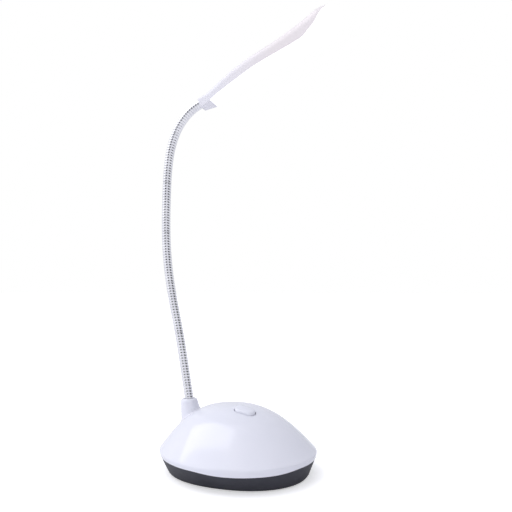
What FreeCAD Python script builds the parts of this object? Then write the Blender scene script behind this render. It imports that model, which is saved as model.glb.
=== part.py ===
import FreeCAD, Part
import math
import os

# Battery desk lamp with a bendable neck.
# Frame, in mm: +Z up, +X to the front (the side the light reaches over), Y across.
# The sizes below are measured from the middle of the base, on the desk plane.
# The finished pieces are moved back by FRAME_X, so that the origin is the middle
# of the whole lamp's outline on the desk plane.

FRAME_X = 5.99

# Base shell (upper housing) and pan
SHELL_A = 48.5          # half length at the widest level
SHELL_B = 42.9          # half width at the widest level
SHELL_WALL = 2.0
Z_SEAM = 9.9            # white shell meets the dark pan
Z_WIDEST = 13.4
TUCK = 0.017            # the shell draws in by this share below its widest level
Z_APEX = 39.4
APEX_LEAN = -0.12       # the dome's top leans to the rear by this much per mm of height
DOME_CROWN = 2.5        # how flat the dome is on top
DOME_SIDE = 1.09        # how steeply it meets the widest level
DOME_RINGS = [0.985, 0.955, 0.91, 0.85, 0.78, 0.70, 0.61, 0.52, 0.43, 0.34, 0.25, 0.16, 0.07]
PAN_Z0 = 0.6            # underside of the pan
PAN_FLOOR = 2.4
PAN_WALL = 1.8
PAN_A0, PAN_B0 = 42.4, 34.5
PAN_A1, PAN_B1 = 47.2, 41.7

# Battery bay: three cells of 10.5 x 44.5 side by side
CELL_R = 5.2
CELL_L = 44.5
CELL_PITCH = 11.0
CELL_Z = 8.5
BAY_X0, BAY_X1 = -27.0, 22.0
BAY_HALF_Y = 16.9
BAY_TOP = 14.2
BAY_WALL = 1.2
DOOR_HALF_Y = 18.0
DOOR_X1 = 24.0
DOOR_GAP = 0.3
TONGUE = 1.0

# Feet and housing screws
FOOT_R = 3.2
FOOT_H = 1.6
FEET = [(28.0, 19.0), (28.0, -19.0), (-21.0, 24.6), (-21.0, -24.6)]
SCREWS = [(33.6, 8.0), (33.6, -8.0), (-8.0, 27.6), (-8.0, -27.6)]

# Neck boss, leaning back from the vertical
BOSS_X, BOSS_Z = -33.2, 40.8
BOSS_HEADING = 100.4    # angle of the neck from +X where it leaves the base
BOSS_R_RIM = 4.75
BOSS_R_FOOT = 6.9
BOSS_DEPTH = 16.5
RIM_ROUND = 1.5

# Gooseneck
HOSE_R = 2.85
HOSE_BORE = 1.7         # radius of the bore
SECTION = 16.6
TURNS = [0.0, -0.3, 2.0, 1.0, -2.9, -4.4, -3.9, -2.7, -1.0, -6.0, -15.5, -25.1, -17.9]
HINGE_GAP = 0.6
GROOVE = 0.45
WIRE_R = 0.7

# Button
BTN_X, BTN_Y = 8.1, -9.0
BTN_L, BTN_W = 12.4, 8.0
BTN_Z = 37.9            # height of the dome under the middle of the button
BTN_PROUD = 1.4
BTN_SLOPE_X = 10.3      # the cap's top falls to the front and to the near side, as the dome does
BTN_SLOPE_Y = 10.8
BTN_CLEAR = 0.5

# Head, in its own frame: u along the head, v up from the light's side
HEAD_TILT = 24.0
# u, half width, underside, top
HEAD_STATIONS = [
    (2.4, 3.8, -3.9, 3.3),
    (5.0, 4.3, -4.2, 3.2),
    (10.5, 6.0, -4.6, 2.9),
    (16.0, 6.5, -3.7, 3.9),
    (22.0, 6.9, -2.8, 5.2),
    (28.0, 7.5, -2.3, 6.3),
    (36.0, 8.5, -2.1, 7.1),
    (45.0, 9.2, -2.1, 7.5),
    (54.0, 9.5, -2.4, 7.6),
    (64.0, 9.7, -2.8, 7.7),
    (76.0, 10.6, -3.2, 8.4),
    (86.0, 11.9, -2.7, 9.2),
    (96.0, 13.3, -1.7, 10.1),
    (108.0, 14.1, 0.4, 10.9),
]
HEAD_WALL = 1.3
# Rounded tip: where it starts and ends, its half width, and its underside, nose and top heights
TIP_U0, HEAD_END = 84.0, 105.5
TIP_W, TIP_LOW, TIP_MID, TIP_TOP = 13.5, -2.8, 5.3, 10.3
# parting line between the top shell and the diffuser
PART_LINE = [(10.6, -3.9), (14.0, -3.3), (20.0, -2.6), (26.0, -2.1), (36.0, -1.75), (45.0, -1.55),
             (54.0, -1.7), (64.0, -2.1), (74.0, -2.7), (80.0, -2.6), (84.0, -1.2), (88.0, 0.1),
             (92.0, 2.5), (96.0, 5.5), (100.0, 7.9), (108.0, 12.5)]

V = FreeCAD.Vector


def save(name, shape):
    os.makedirs("parts", exist_ok=True)
    placed = shape.copy()
    placed.translate(V(-FRAME_X, 0, 0))
    placed.exportStep("parts/" + name + ".step")


def box(x0, x1, y0, y1, z0, z1):
    return Part.makeBox(x1 - x0, y1 - y0, z1 - z0, V(x0, y0, z0))


def cyl(r, x, y, z0, z1):
    return Part.makeCylinder(r, z1 - z0, V(x, y, z0))


# ---------------------------------------------------------------- base shell

def dome_height(k):
    """Height of the dome where its plan has shrunk to the share k of its widest."""
    return Z_WIDEST + (Z_APEX - Z_WIDEST) * (1.0 - k ** DOME_CROWN) ** DOME_SIDE


def oval_ring(z, k):
    centre = V(APEX_LEAN * max(z - Z_WIDEST, 0), 0, z)
    return Part.Wire([Part.Ellipse(centre, SHELL_A * k, SHELL_B * k).toShape()])


def dome_solid():
    """The dome as close-set ovals whose centres lean back as they rise."""
    wires = [oval_ring(Z_SEAM, 1 - TUCK), oval_ring(Z_WIDEST - 1.8, 1 - 0.5 * TUCK)]
    wires += [oval_ring(Z_WIDEST - 0.7, 0.9960), oval_ring(Z_WIDEST, 0.9955)]
    wires += [oval_ring(dome_height(k), k) for k in DOME_RINGS]
    return Part.makeLoft(wires, True, True)


def oval_prism(length, width, z0, z1):
    """Rounded-end prism for the button, its length along X."""
    r = width / 2.0
    k = length / 2.0 - r
    s = math.sqrt(0.5)
    top = Part.makeLine(V(BTN_X - k, BTN_Y + r, z0), V(BTN_X + k, BTN_Y + r, z0))
    end = Part.Arc(V(BTN_X + k, BTN_Y + r, z0), V(BTN_X + k + r, BTN_Y, z0), V(BTN_X + k, BTN_Y - r, z0))
    low = Part.makeLine(V(BTN_X + k, BTN_Y - r, z0), V(BTN_X - k, BTN_Y - r, z0))
    beg = Part.Arc(V(BTN_X - k, BTN_Y - r, z0), V(BTN_X - k - r, BTN_Y, z0), V(BTN_X - k, BTN_Y + r, z0))
    face = Part.Face(Part.Wire([top, end.toShape(), low, beg.toShape()]))
    return face.extrude(V(0, 0, z1 - z0))


def boss_axis():
    a = math.radians(BOSS_HEADING)
    return V(math.cos(a), 0, math.sin(a))


def neck_boss():
    """The leaning collar that carries the neck, flared towards its foot."""
    axis = boss_axis()
    rim = V(BOSS_X, 0, BOSS_Z)
    boss = Part.makeCone(BOSS_R_FOOT, BOSS_R_RIM, BOSS_DEPTH, rim - axis * BOSS_DEPTH, axis)
    rims = [e for e in boss.Edges if (e.CenterOfMass - rim).Length < 0.5 and e.Length < 32]
    return boss.makeFillet(RIM_ROUND, rims)


def upper_housing():
    axis = boss_axis()
    foot = V(BOSS_X, 0, BOSS_Z) - axis * BOSS_DEPTH
    cavity = dome_cavity(SHELL_WALL).cut(Part.makeCylinder(BOSS_R_FOOT, BOSS_DEPTH, foot, axis))
    for x, y in SCREWS:
        cavity = cavity.cut(cyl(3.0, x, y, PAN_Z0 + 4.4, 30))
    shell = dome_solid().cut(cavity).fuse(neck_boss())
    tools = [Part.makeCylinder(HOSE_R + 0.05, BOSS_DEPTH + 2, foot - axis, axis)]
    tools.append(oval_prism(BTN_L + 2 * BTN_CLEAR, BTN_W + 2 * BTN_CLEAR, 20, 50))
    shell = shell.cut(tools)
    for x, y in SCREWS:
        shell = shell.fuse(cyl(3.0, x, y, PAN_Z0 + 4.4, Z_SEAM + 1))
        shell = shell.cut(cyl(1.35, x, y, 0, 15.0))
    return shell


def facet_ring(a, b, x, z, sides=16):
    turns = [2 * math.pi * (k + 0.5) / sides for k in range(sides)]
    return [V(x + a * math.cos(t), b * math.sin(t), z) for t in turns]


def facet_solid(rings):
    """A closed solid of flat faces through rings of points; the rings are scaled copies."""
    faces = [Part.Face(Part.makePolygon(r + [r[0]])) for r in (rings[0], rings[-1])]
    for low, high in zip(rings, rings[1:]):
        for k in range(len(low)):
            j = (k + 1) % len(low)
            faces.append(Part.Face(Part.makePolygon([low[k], low[j], high[j], high[k], low[k]])))
    return Part.Solid(Part.Shell(faces))


def dome_cavity(wall):
    """The hollow under the dome, flat-sided because nothing shows it."""
    rings = []
    for z, k in ((Z_SEAM - 1, 1 - TUCK), (Z_WIDEST - 1.0, 1 - 0.5 * TUCK)):
        k -= wall / SHELL_B
        rings.append(facet_ring(SHELL_A * k, SHELL_B * k, 0, z))
    for k in (0.9, 0.75, 0.57, 0.38, 0.18):
        rise = (dome_height(k - 0.01) - dome_height(k + 0.01)) / (0.02 * SHELL_A)
        s = math.hypot(1, rise)
        z = dome_height(k)
        x = APEX_LEAN * (z - Z_WIDEST)
        k -= wall * rise / s / SHELL_B
        rings.append(facet_ring(SHELL_A * k, SHELL_B * k, x, z - wall / s))
    return facet_solid(rings)


# ------------------------------------------------------------------ base pan

def ellipse_wire(a, b, z):
    e = Part.Ellipse(V(0, 0, z), a, b)
    return Part.Wire([e.toShape()])


def pan_solid(inset, z0, z1):
    """The pan's outer form between two heights: it draws in downwards to a bevelled edge."""
    wires = [ellipse_wire(PAN_A0 - 1.3 - inset, PAN_B0 - 1.3 - inset, PAN_Z0)]
    wires.append(ellipse_wire(PAN_A0 - inset, PAN_B0 - inset, PAN_Z0 + 1.2))
    wires.append(ellipse_wire(PAN_A1 - inset, PAN_B1 - inset, Z_SEAM))
    solid = Part.makeLoft(wires, True, True)
    return solid.common(box(-60, 60, -60, 60, z0, z1))


def prism(a, b, z0, z1):
    return facet_solid([facet_ring(a, b, 0, z0), facet_ring(a, b, 0, z1)])


def pan_cavity():
    k0, k1 = 1 - PAN_WALL / PAN_B0, 1 - (PAN_WALL + 0.4) / PAN_B1
    k0 *= PAN_A0 / PAN_A1
    low = facet_ring(PAN_A1 * k0, PAN_B1 * k0, 0, PAN_Z0 + PAN_FLOOR)
    high = facet_ring(PAN_A1 * k1, PAN_B1 * k1, 0, Z_SEAM + 1)
    return facet_solid([low, high])


def base_tray():
    floor_top = PAN_Z0 + PAN_FLOOR
    tray = pan_solid(0, PAN_Z0, Z_SEAM).cut(pan_cavity())
    rim = prism(SHELL_A - 4.3, SHELL_B - 4.3, Z_SEAM - 5.0, Z_SEAM + 2.0)
    rim = rim.cut(prism(SHELL_A - 5.9, SHELL_B - 5.9, Z_SEAM - 6.0, Z_SEAM + 3.0))
    tray = tray.fuse(rim.common(pan_solid(0.3, PAN_Z0, Z_SEAM)))
    tray = tray.fuse(rim.common(box(-60, 60, -60, 60, Z_SEAM, Z_SEAM + 2.0)))
    bay = box(BAY_X0 - BAY_WALL, BAY_X1 + BAY_WALL, -DOOR_HALF_Y - 1.8, DOOR_HALF_Y + 1.8,
              floor_top - 0.5, BAY_TOP + BAY_WALL)
    tray = tray.fuse(bay)
    for x, y in SCREWS:
        tray = tray.fuse(cyl(4.0, x, y, PAN_Z0 + 1.0, PAN_Z0 + 4.4))
    for x, y in FEET:
        tray = tray.fuse(cyl(FOOT_R + 1.2, x, y, PAN_Z0 + 1.0, floor_top + 0.6).common(pan_solid(0.5, 0, 9)))
    tray = tray.cut(box(BAY_X0, BAY_X1, -BAY_HALF_Y, BAY_HALF_Y, 0, BAY_TOP))
    slot = box(-60, DOOR_X1, -DOOR_HALF_Y - DOOR_GAP, DOOR_HALF_Y + DOOR_GAP, 0, floor_top + 0.05)
    groove = box(-60, DOOR_X1, -DOOR_HALF_Y - TONGUE - DOOR_GAP, DOOR_HALF_Y + TONGUE + DOOR_GAP,
                 PAN_Z0 + 0.6, PAN_Z0 + 1.9)
    tray = tray.cut(slot.fuse(groove))
    for x, y in SCREWS:
        tray = tray.cut(cyl(2.8, x, y, 0, PAN_Z0 + 2.4).fuse(cyl(1.5, x, y, 0, 12)))
    for x, y in FEET:
        tray = tray.cut(cyl(FOOT_R, x, y, 0, FOOT_H))
    for x in (SWITCH_X - 5.5, SWITCH_X + 5.5):
        tray = tray.fuse(cyl(1.6, x, BTN_Y, BAY_TOP + 0.5, SWITCH_Z))
    return tray.removeSplitter()


def battery_door():
    plate = pan_solid(0, PAN_Z0, PAN_Z0 + 2.2)
    body = plate.common(box(-60, DOOR_X1 - DOOR_GAP, -DOOR_HALF_Y, DOOR_HALF_Y, 0, 5))
    tongue = box(-60, DOOR_X1 - 4, -DOOR_HALF_Y - TONGUE, DOOR_HALF_Y + TONGUE, PAN_Z0 + 0.9, PAN_Z0 + 1.6)
    body = body.fuse(tongue.common(prism(PAN_A0 - 1.0, PAN_B0 - 1.0, PAN_Z0, 5)))
    for k in range(3):
        x = -33.0 + 3.0 * k
        body = body.cut(box(x, x + 1.4, -7, 7, 0, PAN_Z0 + 0.7))
    return body.removeSplitter()


def feet():
    return Part.makeCompound([cyl(FOOT_R, x, y, 0, FOOT_H) for x, y in FEET])


def housing_screws():
    seat = PAN_Z0 + 2.4
    solids = []
    for x, y in SCREWS:
        head = cyl(2.4, x, y, seat - 1.6, seat)
        solids.append(head.fuse(cyl(1.25, x, y, seat, 13.0)))
    return Part.makeCompound(solids)


# ------------------------------------------------------------ cells, contacts

def cells():
    """Three cells, the middle one turned end for end."""
    out = []
    for k, y in enumerate((-CELL_PITCH, 0.0, CELL_PITCH)):
        flip = k == 1
        x0 = BAY_X0 + (0.9 if flip else 3.2)
        can = Part.makeCylinder(CELL_R, CELL_L - 1.0, V(x0 + (1.0 if flip else 0), y, CELL_Z), V(1, 0, 0))
        nub_x = x0 if flip else x0 + CELL_L - 1.0
        nub = Part.makeCylinder(1.9, 1.0, V(nub_x, y, CELL_Z), V(1, 0, 0))
        out.append(can.fuse(nub).removeSplitter())
    return out


def leaf(x_wall, x_cell, y):
    """A bent strip spring from the bay's end wall to a cell's flat end."""
    s = 1 if x_cell > x_wall else -1
    t = 0.4
    z0, z1 = CELL_Z - 4.0, CELL_Z + 4.0
    pts = [V(x_wall, y - 3, z0), V(x_wall, y - 3, z1), V(x_wall + s * t, y - 3, z1),
           V(x_wall + s * t, y - 3, z0 + 1.2), V(x_cell - s * t, y - 3, CELL_Z - 1.6),
           V(x_cell - s * t, y - 3, CELL_Z + 1.6), V(x_cell, y - 3, CELL_Z + 1.6),
           V(x_cell, y - 3, CELL_Z - 1.8), V(x_wall + s * t, y - 3, z0)]
    face = Part.Face(Part.makePolygon(pts + [pts[0]]))
    return face.extrude(V(0, 6, 0))


def flat_contact(x_wall, x_nub, y):
    a, b = min(x_wall, x_nub), max(x_wall, x_nub)
    return box(a, b, y - 3, y + 3, CELL_Z - 4, CELL_Z + 4)


def contacts_front():
    x_cell = BAY_X0 + 3.2 + CELL_L
    outer = [flat_contact(BAY_X1, x_cell, y) for y in (-CELL_PITCH, CELL_PITCH)]
    mid = leaf(BAY_X1, BAY_X0 + 0.9 + CELL_L, 0.0)
    return Part.makeCompound(outer + [mid])


def contacts_rear():
    outer = [leaf(BAY_X0, BAY_X0 + 3.2, y) for y in (-CELL_PITCH, CELL_PITCH)]
    mid = flat_contact(BAY_X0, BAY_X0 + 0.9, 0.0)
    return Part.makeCompound(outer + [mid])


# -------------------------------------------------------------------- switch

SWITCH_X = BTN_X
SWITCH_Z = 19.0         # underside of the switch board
BTN_FLANGE_Z = 28.2


def button():
    """Oval cap with a flange below; its top slopes with the dome around it."""
    cap = oval_prism(BTN_L, BTN_W, BTN_FLANGE_Z, 50)
    cutter = Part.makeBox(60, 60, 30, V(-30, -30, 0))
    cutter.rotate(V(0, 0, 0), V(0, 1, 0), BTN_SLOPE_X)
    cutter.rotate(V(0, 0, 0), V(1, 0, 0), BTN_SLOPE_Y)
    cutter.translate(V(BTN_X, BTN_Y, BTN_Z + BTN_PROUD))
    cap = cap.cut(cutter)
    crown = [e for e in cap.Edges if e.CenterOfMass.z > BTN_Z - 3 and abs(e.tangentAt(e.FirstParameter).z) < 0.5]
    cap = cap.makeChamfer(0.8, crown)
    flange = oval_prism(BTN_L + 2.0, BTN_W + 2.0, BTN_FLANGE_Z, BTN_FLANGE_Z + 1.0)
    return cap.fuse(flange).removeSplitter()


def switch_parts():
    board = box(SWITCH_X - 8, SWITCH_X + 8, BTN_Y - 6, BTN_Y + 6, SWITCH_Z, SWITCH_Z + 1.6)
    z = SWITCH_Z + 1.6
    body = box(SWITCH_X - 3.5, SWITCH_X + 3.5, BTN_Y - 3.5, BTN_Y + 3.5, z, z + 5.0)
    body = body.cut(cyl(1.6, SWITCH_X, BTN_Y, z + 1.0, z + 6))
    stem = cyl(1.3, SWITCH_X, BTN_Y, z + 2.8, BTN_FLANGE_Z)
    return board, body, stem


# ---------------------------------------------------------------------- neck

def neck_frames():
    """Position and heading where each section of the neck begins, then the end."""
    x, z, h = BOSS_X, BOSS_Z, math.radians(BOSS_HEADING)
    frames = [(x, z, h)]
    for k, turn in enumerate(TURNS):
        length = SECTION / 2 if k in (0, len(TURNS) - 1) else SECTION
        t = math.radians(turn)
        chord = length if abs(t) < 1e-9 else 2 * length / t * math.sin(t / 2)
        x += chord * math.cos(h + t / 2)
        z += chord * math.sin(h + t / 2)
        h += t
        frames.append((x, z, h))
    return frames


def ring_at(frame, turn, length, s, radius):
    """A circle across one section's centre line, at s along it."""
    x, z, h = frame
    t = math.radians(turn) * s / length
    chord = s if abs(t) < 1e-9 else 2 * s / t * math.sin(t / 2)
    centre = V(x + chord * math.cos(h + t / 2), 0, z + chord * math.sin(h + t / 2))
    return Part.Wire([Part.makeCircle(radius, centre, V(math.cos(h + t), 0, math.sin(h + t)))])


def hose_piece(frame, turn, length, s0, s1):
    """One section: a tube with bevelled rims that follows its share of the neck's bend."""
    if abs(turn) < 7:
        return straight_piece(frame, turn, s0, s1)
    inner = [s0 + GROOVE + (s1 - s0 - 2 * GROOVE) * k / 3 for k in range(4)]
    outside = [(s0, HOSE_R - GROOVE)] + [(s, HOSE_R) for s in inner] + [(s1, HOSE_R - GROOVE)]
    rod = Part.makeLoft([ring_at(frame, turn, length, s, r) for s, r in outside], True, True)
    bore = [s0 - 0.2] + inner[1:-1] + [s1 + 0.2]
    return rod.cut(Part.makeLoft([ring_at(frame, turn, length, s, HOSE_BORE) for s in bore], True, True))


def straight_piece(frame, turn, s0, s1):
    x, z, h = frame
    h += math.radians(turn) / 2
    d = V(math.cos(h), 0, math.sin(h))
    start = V(x, 0, z) + d * s0
    rod = bevelled(Part.makeCylinder(HOSE_R, s1 - s0, start, d), HOSE_R)
    return rod.cut(Part.makeCylinder(HOSE_BORE, s1 - s0, start, d))


def bevelled(rod, radius):
    rims = [e for e in rod.Edges if abs(e.Length - 2 * math.pi * radius) < 0.01]
    return rod.makeChamfer(GROOVE, rims)


def hose_root():
    """The neck's lowest stretch, from under the nut up through the collar."""
    axis = boss_axis()
    low = BOSS_DEPTH + 5.5
    length = low + SECTION / 2 - HINGE_GAP / 2
    base = V(BOSS_X, 0, BOSS_Z) - axis * low
    rod = bevelled(Part.makeCylinder(HOSE_R, length, base, axis), HOSE_R)
    return rod.cut(Part.makeCylinder(HOSE_BORE, length, base, axis))


def hose_sections():
    frames = neck_frames()
    out = [hose_root()]
    for k in range(1, len(TURNS) - 1):
        out.append(hose_piece(frames[k], TURNS[k], SECTION, HINGE_GAP / 2, SECTION - HINGE_GAP / 2))
    return out + [hose_tip(frames)]


def hose_tip(frames):
    """The last half section, and the straight stub that the head holds."""
    half, s0 = SECTION / 2, HINGE_GAP / 2
    rods = []
    for radius, a, b in ((HOSE_R, s0 + GROOVE, 5.0), (HOSE_BORE, s0 - 0.2, 5.2)):
        rings = [ring_at(frames[-2], TURNS[-1], half, s, radius) for s in (a, half / 2, half)]
        rods.append(rings + [ring_at(frames[-1], 0, 1, b, radius)])
    rim = ring_at(frames[-2], TURNS[-1], half, s0, HOSE_R - GROOVE)
    rod = Part.makeLoft([rim] + rods[0], True, True)
    return rod.cut(Part.makeLoft(rods[1], True, True))


def neck_nut():
    axis = boss_axis()
    seat = V(BOSS_X, 0, BOSS_Z) - axis * BOSS_DEPTH
    side = V(-axis.z, 0, axis.x)
    ring = []
    for k in range(6):
        a = math.radians(60 * k)
        ring.append(seat + side * (5.6 * math.cos(a)) + V(0, 1, 0) * (5.6 * math.sin(a)))
    face = Part.Face(Part.makePolygon(ring + [ring[0]]))
    nut = face.extrude(axis * -4.0)
    return nut.cut(Part.makeCylinder(HOSE_R, 6.0, seat + axis, axis * -1))


def neck_wire():
    """The two-core lead through the neck: straight runs from hinge to hinge."""
    frames = neck_frames()
    pts = [V(x, 0, z) for x, z, _ in frames]
    a = pts[0] - boss_axis() * (BOSS_DEPTH + 8)
    h = frames[-1][2]
    pts = [a] + pts + [pts[-1] + V(math.cos(h), 0, math.sin(h)) * 13.0]
    runs = [Part.makeCylinder(WIRE_R, (q - p).Length, p, q - p) for p, q in zip(pts, pts[1:])]
    joints = [Part.makeSphere(WIRE_R, p) for p in pts[11:-1]]
    return runs[0].fuse(runs[1:] + joints)


# ---------------------------------------------------------------------- head

def head_matrix():
    x, z, h = neck_frames()[-1]
    t = math.radians(HEAD_TILT)
    c, s = math.cos(t), math.sin(t)
    return FreeCAD.Matrix(c, 0, -s, x, 0, 1, 0, 0, s, 0, c, z, 0, 0, 0, 1)


def to_head(shape):
    out = shape.copy()
    out.transformShape(head_matrix())
    return out


def corner(a, b, centre, radius):
    mid = (a + b) * 0.5 - centre
    return Part.Arc(a, centre + mid.normalize() * radius, b).toShape()


def station_wire(u, w, low, top):
    """One section of the head: flat below, upright sides, a large round over each top edge."""
    r = min(0.62 * w, 0.6 * (top - low))
    q = 0.7
    p = [V(u, -w + q, low), V(u, w - q, low), V(u, w, low + q), V(u, w, top - r), V(u, w - r, top),
         V(u, -w + r, top), V(u, -w, top - r), V(u, -w, low + q)]
    edges = [Part.makeLine(p[0], p[1]), corner(p[1], p[2], V(u, w - q, low + q), q),
             Part.makeLine(p[2], p[3]), corner(p[3], p[4], V(u, w - r, top - r), r),
             Part.makeLine(p[4], p[5]), corner(p[5], p[6], V(u, -w + r, top - r), r),
             Part.makeLine(p[6], p[7]), corner(p[7], p[0], V(u, -w + q, low + q), q)]
    return Part.Wire(edges)


def tip_share(u, power, root):
    """How much of the head's width or depth is left at u in the rounded tip."""
    f = (u - TIP_U0) / (HEAD_END - TIP_U0)
    return max(1.0 - f ** power, 0.0) ** root


def closed_face(curve, corners):
    edges = [curve]
    edges += [Part.makeLine(p, q) for p, q in zip(corners, corners[1:])]
    return Part.Face(Part.Wire(Part.__sortEdges__(edges)))


def curve_through(points):
    curve = Part.BSplineCurve()
    curve.interpolate(points)
    return curve.toShape()


def head_outline():
    """Plan of the head with its rounded tip, extruded through the head's depth."""
    side = [V(u, TIP_W * tip_share(u, 2.63, 0.52), -20) for u in (86.0, 92.0, 97.0, 101.0, 103.7, 105.1)]
    pts = [V(p.x, -p.y, p.z) for p in side] + [V(HEAD_END, 0, -20)] + side[::-1]
    corners = [pts[-1], V(86, 20, -20), V(-1, 20, -20), V(-1, -20, -20), V(86, -20, -20), pts[0]]
    return closed_face(curve_through(pts), corners).extrude(V(0, 0, 40))


def head_profile():
    """Side view of the tip: the underside turns up to meet the top in a blunt nose."""
    pts = []
    for u in (85.0, 90.0, 95.0, 99.0, 102.0, 104.0, 105.1):
        pts.append(V(u, -20, TIP_LOW + (TIP_MID - TIP_LOW) * (1 - tip_share(u, 2.52, 0.4))))
    pts.append(V(HEAD_END, -20, TIP_MID))
    for u in (105.1, 104.0, 102.0, 98.0):
        pts.append(V(u, -20, TIP_TOP - (TIP_TOP - TIP_MID) * (1 - tip_share(u, 6.5, 0.5))))
    corners = [pts[-1], V(92, -20, 20), V(-1, -20, 20), V(-1, -20, -20), V(85, -20, -20), pts[0]]
    return closed_face(curve_through(pts), corners).extrude(V(0, 40, 0))


def head_body():
    wires = [station_wire(*station) for station in HEAD_STATIONS]
    body = Part.makeLoft(wires, True, True)
    return body.common(head_outline()).common(head_profile())


def head_cavity():
    """The room for the light board, flat-sided, from behind the collar to the nose."""
    wires = []
    for u, w, low, top in HEAD_STATIONS[2:12]:
        a, b, c, d = w - HEAD_WALL, low + HEAD_WALL, top - HEAD_WALL, 0.45 * w
        pts = [V(u, -a, b), V(u, a, b), V(u, a, c - d * 0.7), V(u, a - d, c), V(u, -a + d, c), V(u, -a, c - d * 0.7)]
        wires.append(Part.makePolygon(pts + [pts[0]]))
    u, w, low, top = 98.0, 8.0, 2.0, 8.0
    pts = [V(u, -w, low), V(u, w, low), V(u, w, top - 2), V(u, w - 4, top), V(u, -w + 4, top), V(u, -w, top - 2)]
    wires.append(Part.makePolygon(pts + [pts[0]]))
    return Part.makeLoft(wires, True, True)


def below_parting():
    """Everything on the light's side of the parting line."""
    pts = [V(u, -30, v) for u, v in PART_LINE]
    a, b = pts[0], pts[-1]
    return closed_face(curve_through(pts), [b, V(b.x, -30, -30), V(a.x, -30, -30), a]).extrude(V(0, 60, 0))


def head_parts():
    outer = head_body()
    cavity = head_cavity()
    under = below_parting()
    hollow = outer.cut(cavity)
    shell = hollow.cut(under)
    lens = hollow.common(under)
    x, z, h = neck_frames()[-1]
    rel = h - math.radians(HEAD_TILT)
    axis = V(math.cos(rel), 0, math.sin(rel))
    shell = shell.cut(Part.makeCylinder(HOSE_R, 5.0, V(0, 0, 0), axis))
    shell = shell.cut(Part.makeCylinder(HOSE_BORE, 12.0, V(0, 0, 0), axis))
    return shell, lens


def led_parts():
    board = box(26, 84, -4.6, 4.6, 2.2, 3.2)
    leds = [box(u - 1.75, u + 1.75, -1.4, 1.4, 1.4, 2.2) for u in range(30, 84, 8)]
    resistor = box(24.2 + 3.0, 27.2 + 3.0, 2.0, 3.6, 3.2, 3.8)
    posts = [box(u - 1.2, u + 1.2, -1.2, 1.2, 3.2, top) for u, top in ((34.0, 6.5), (76.0, 7.8))]
    return board, leds, resistor, posts


def build_head():
    shell, lens = head_parts()
    board, leds, resistor, posts = led_parts()
    for p in posts:
        shell = shell.fuse(p)
    return shell.removeSplitter(), lens, board, leds, resistor


def build():
    save("upper_housing", upper_housing())
    save("base_tray", base_tray())
    save("battery_door", battery_door())
    save("rubber_feet", feet())
    save("housing_screws", housing_screws())
    for name, cell in zip(("battery_left", "battery_middle", "battery_right"), cells()):
        save(name, cell)
    save("contacts_front", contacts_front())
    save("contacts_rear", contacts_rear())
    save("switch_button", button())
    board, body, stem = switch_parts()
    save("switch_board", board)
    save("switch_body", body)
    save("switch_stem", stem)
    save("neck_nut", neck_nut())
    for k, piece in enumerate(hose_sections()):
        save("hose_%02d" % k, piece)
    save("neck_wire", neck_wire())
    shell, lens, board, leds, resistor = build_head()
    save("head_shell", to_head(shell))
    save("head_diffuser", to_head(lens))
    save("led_board", to_head(board))
    save("leds", to_head(Part.makeCompound(leds)))
    save("led_resistor", to_head(resistor))


build()
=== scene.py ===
import math
import bpy
import numpy as np
from mathutils import Matrix, Vector


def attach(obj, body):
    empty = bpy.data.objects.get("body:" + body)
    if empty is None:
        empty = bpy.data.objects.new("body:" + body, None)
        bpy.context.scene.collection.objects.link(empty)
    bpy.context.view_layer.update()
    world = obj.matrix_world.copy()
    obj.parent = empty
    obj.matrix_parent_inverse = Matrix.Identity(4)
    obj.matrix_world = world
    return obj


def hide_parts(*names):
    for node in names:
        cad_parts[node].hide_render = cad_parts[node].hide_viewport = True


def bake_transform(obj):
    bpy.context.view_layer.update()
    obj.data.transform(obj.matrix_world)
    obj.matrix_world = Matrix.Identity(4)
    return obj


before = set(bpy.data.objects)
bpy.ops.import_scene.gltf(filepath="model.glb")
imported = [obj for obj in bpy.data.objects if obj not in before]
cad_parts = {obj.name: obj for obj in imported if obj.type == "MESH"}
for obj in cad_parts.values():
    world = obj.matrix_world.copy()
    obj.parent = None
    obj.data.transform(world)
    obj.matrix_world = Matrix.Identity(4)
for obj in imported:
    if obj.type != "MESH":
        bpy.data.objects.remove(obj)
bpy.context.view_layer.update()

# Sizes are in millimetres, from the middle of the base on the desk, and angles in degrees.
# to_frame() turns such a point into metres in the frame, whose origin lies FX along X.
FX = 5.99

# dome: half length, half width, and the levels of its seam, its widest ring and its top
DOME_A, DOME_B = 48.5, 42.9
Z_SEAM, Z_WIDE, Z_APEX = 9.9, 13.4, 39.4
LEAN = -0.12                         # shift along X for each millimetre of height
CROWN, SIDE = 2.5, 1.09              # powers of the profile: flatness of the top, fullness of the side
DOME_COLS, DOME_THICKNESS = 288, 1.8
HEM_ROWS, DOME_ROWS = 16, 110
SEAM_RISE, SEAM_DIP = 1.0, 1.15      # the seam's height over Z_SEAM, and its dip towards each side's front
DIP_SIDE, DIP_START = (0.454, 0.891), 0.75  # the dip's deepest direction, and the cosine where it starts
# share of the full width that the shell has at each height round its widest level
HEM = [(9.9, 0.983), (11.6, 0.9915), (12.7, 0.9957), (13.4, 0.9950), (14.12, 0.985), (15.5, 0.959)]
HEM_TOP = HEM[4]                     # above it the dome's own profile goes on
EDGE_TURN = ((-0.02, 0.25), (0.0, 2.0), (2.0, 2.1))  # rise and inset of the rows that turn in under the shell

# pan's outline: level, half length, half width, fullness of the corners, shift along X
PAN_LOW, PAN_TOP = (0.8, 43.0, 34.6, 2.2, 0.6), (9.9, 47.35, 41.8, 2.0, 0.0)
PAN_COLS, PAN_FLOOR, PAN_BEND = 360, 0.57, 4.5
DOOR_HALF, DOOR_TOP, DOOR_GAP = 18.9, 3.1, 0.4  # battery door's half width, top and gap

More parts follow.
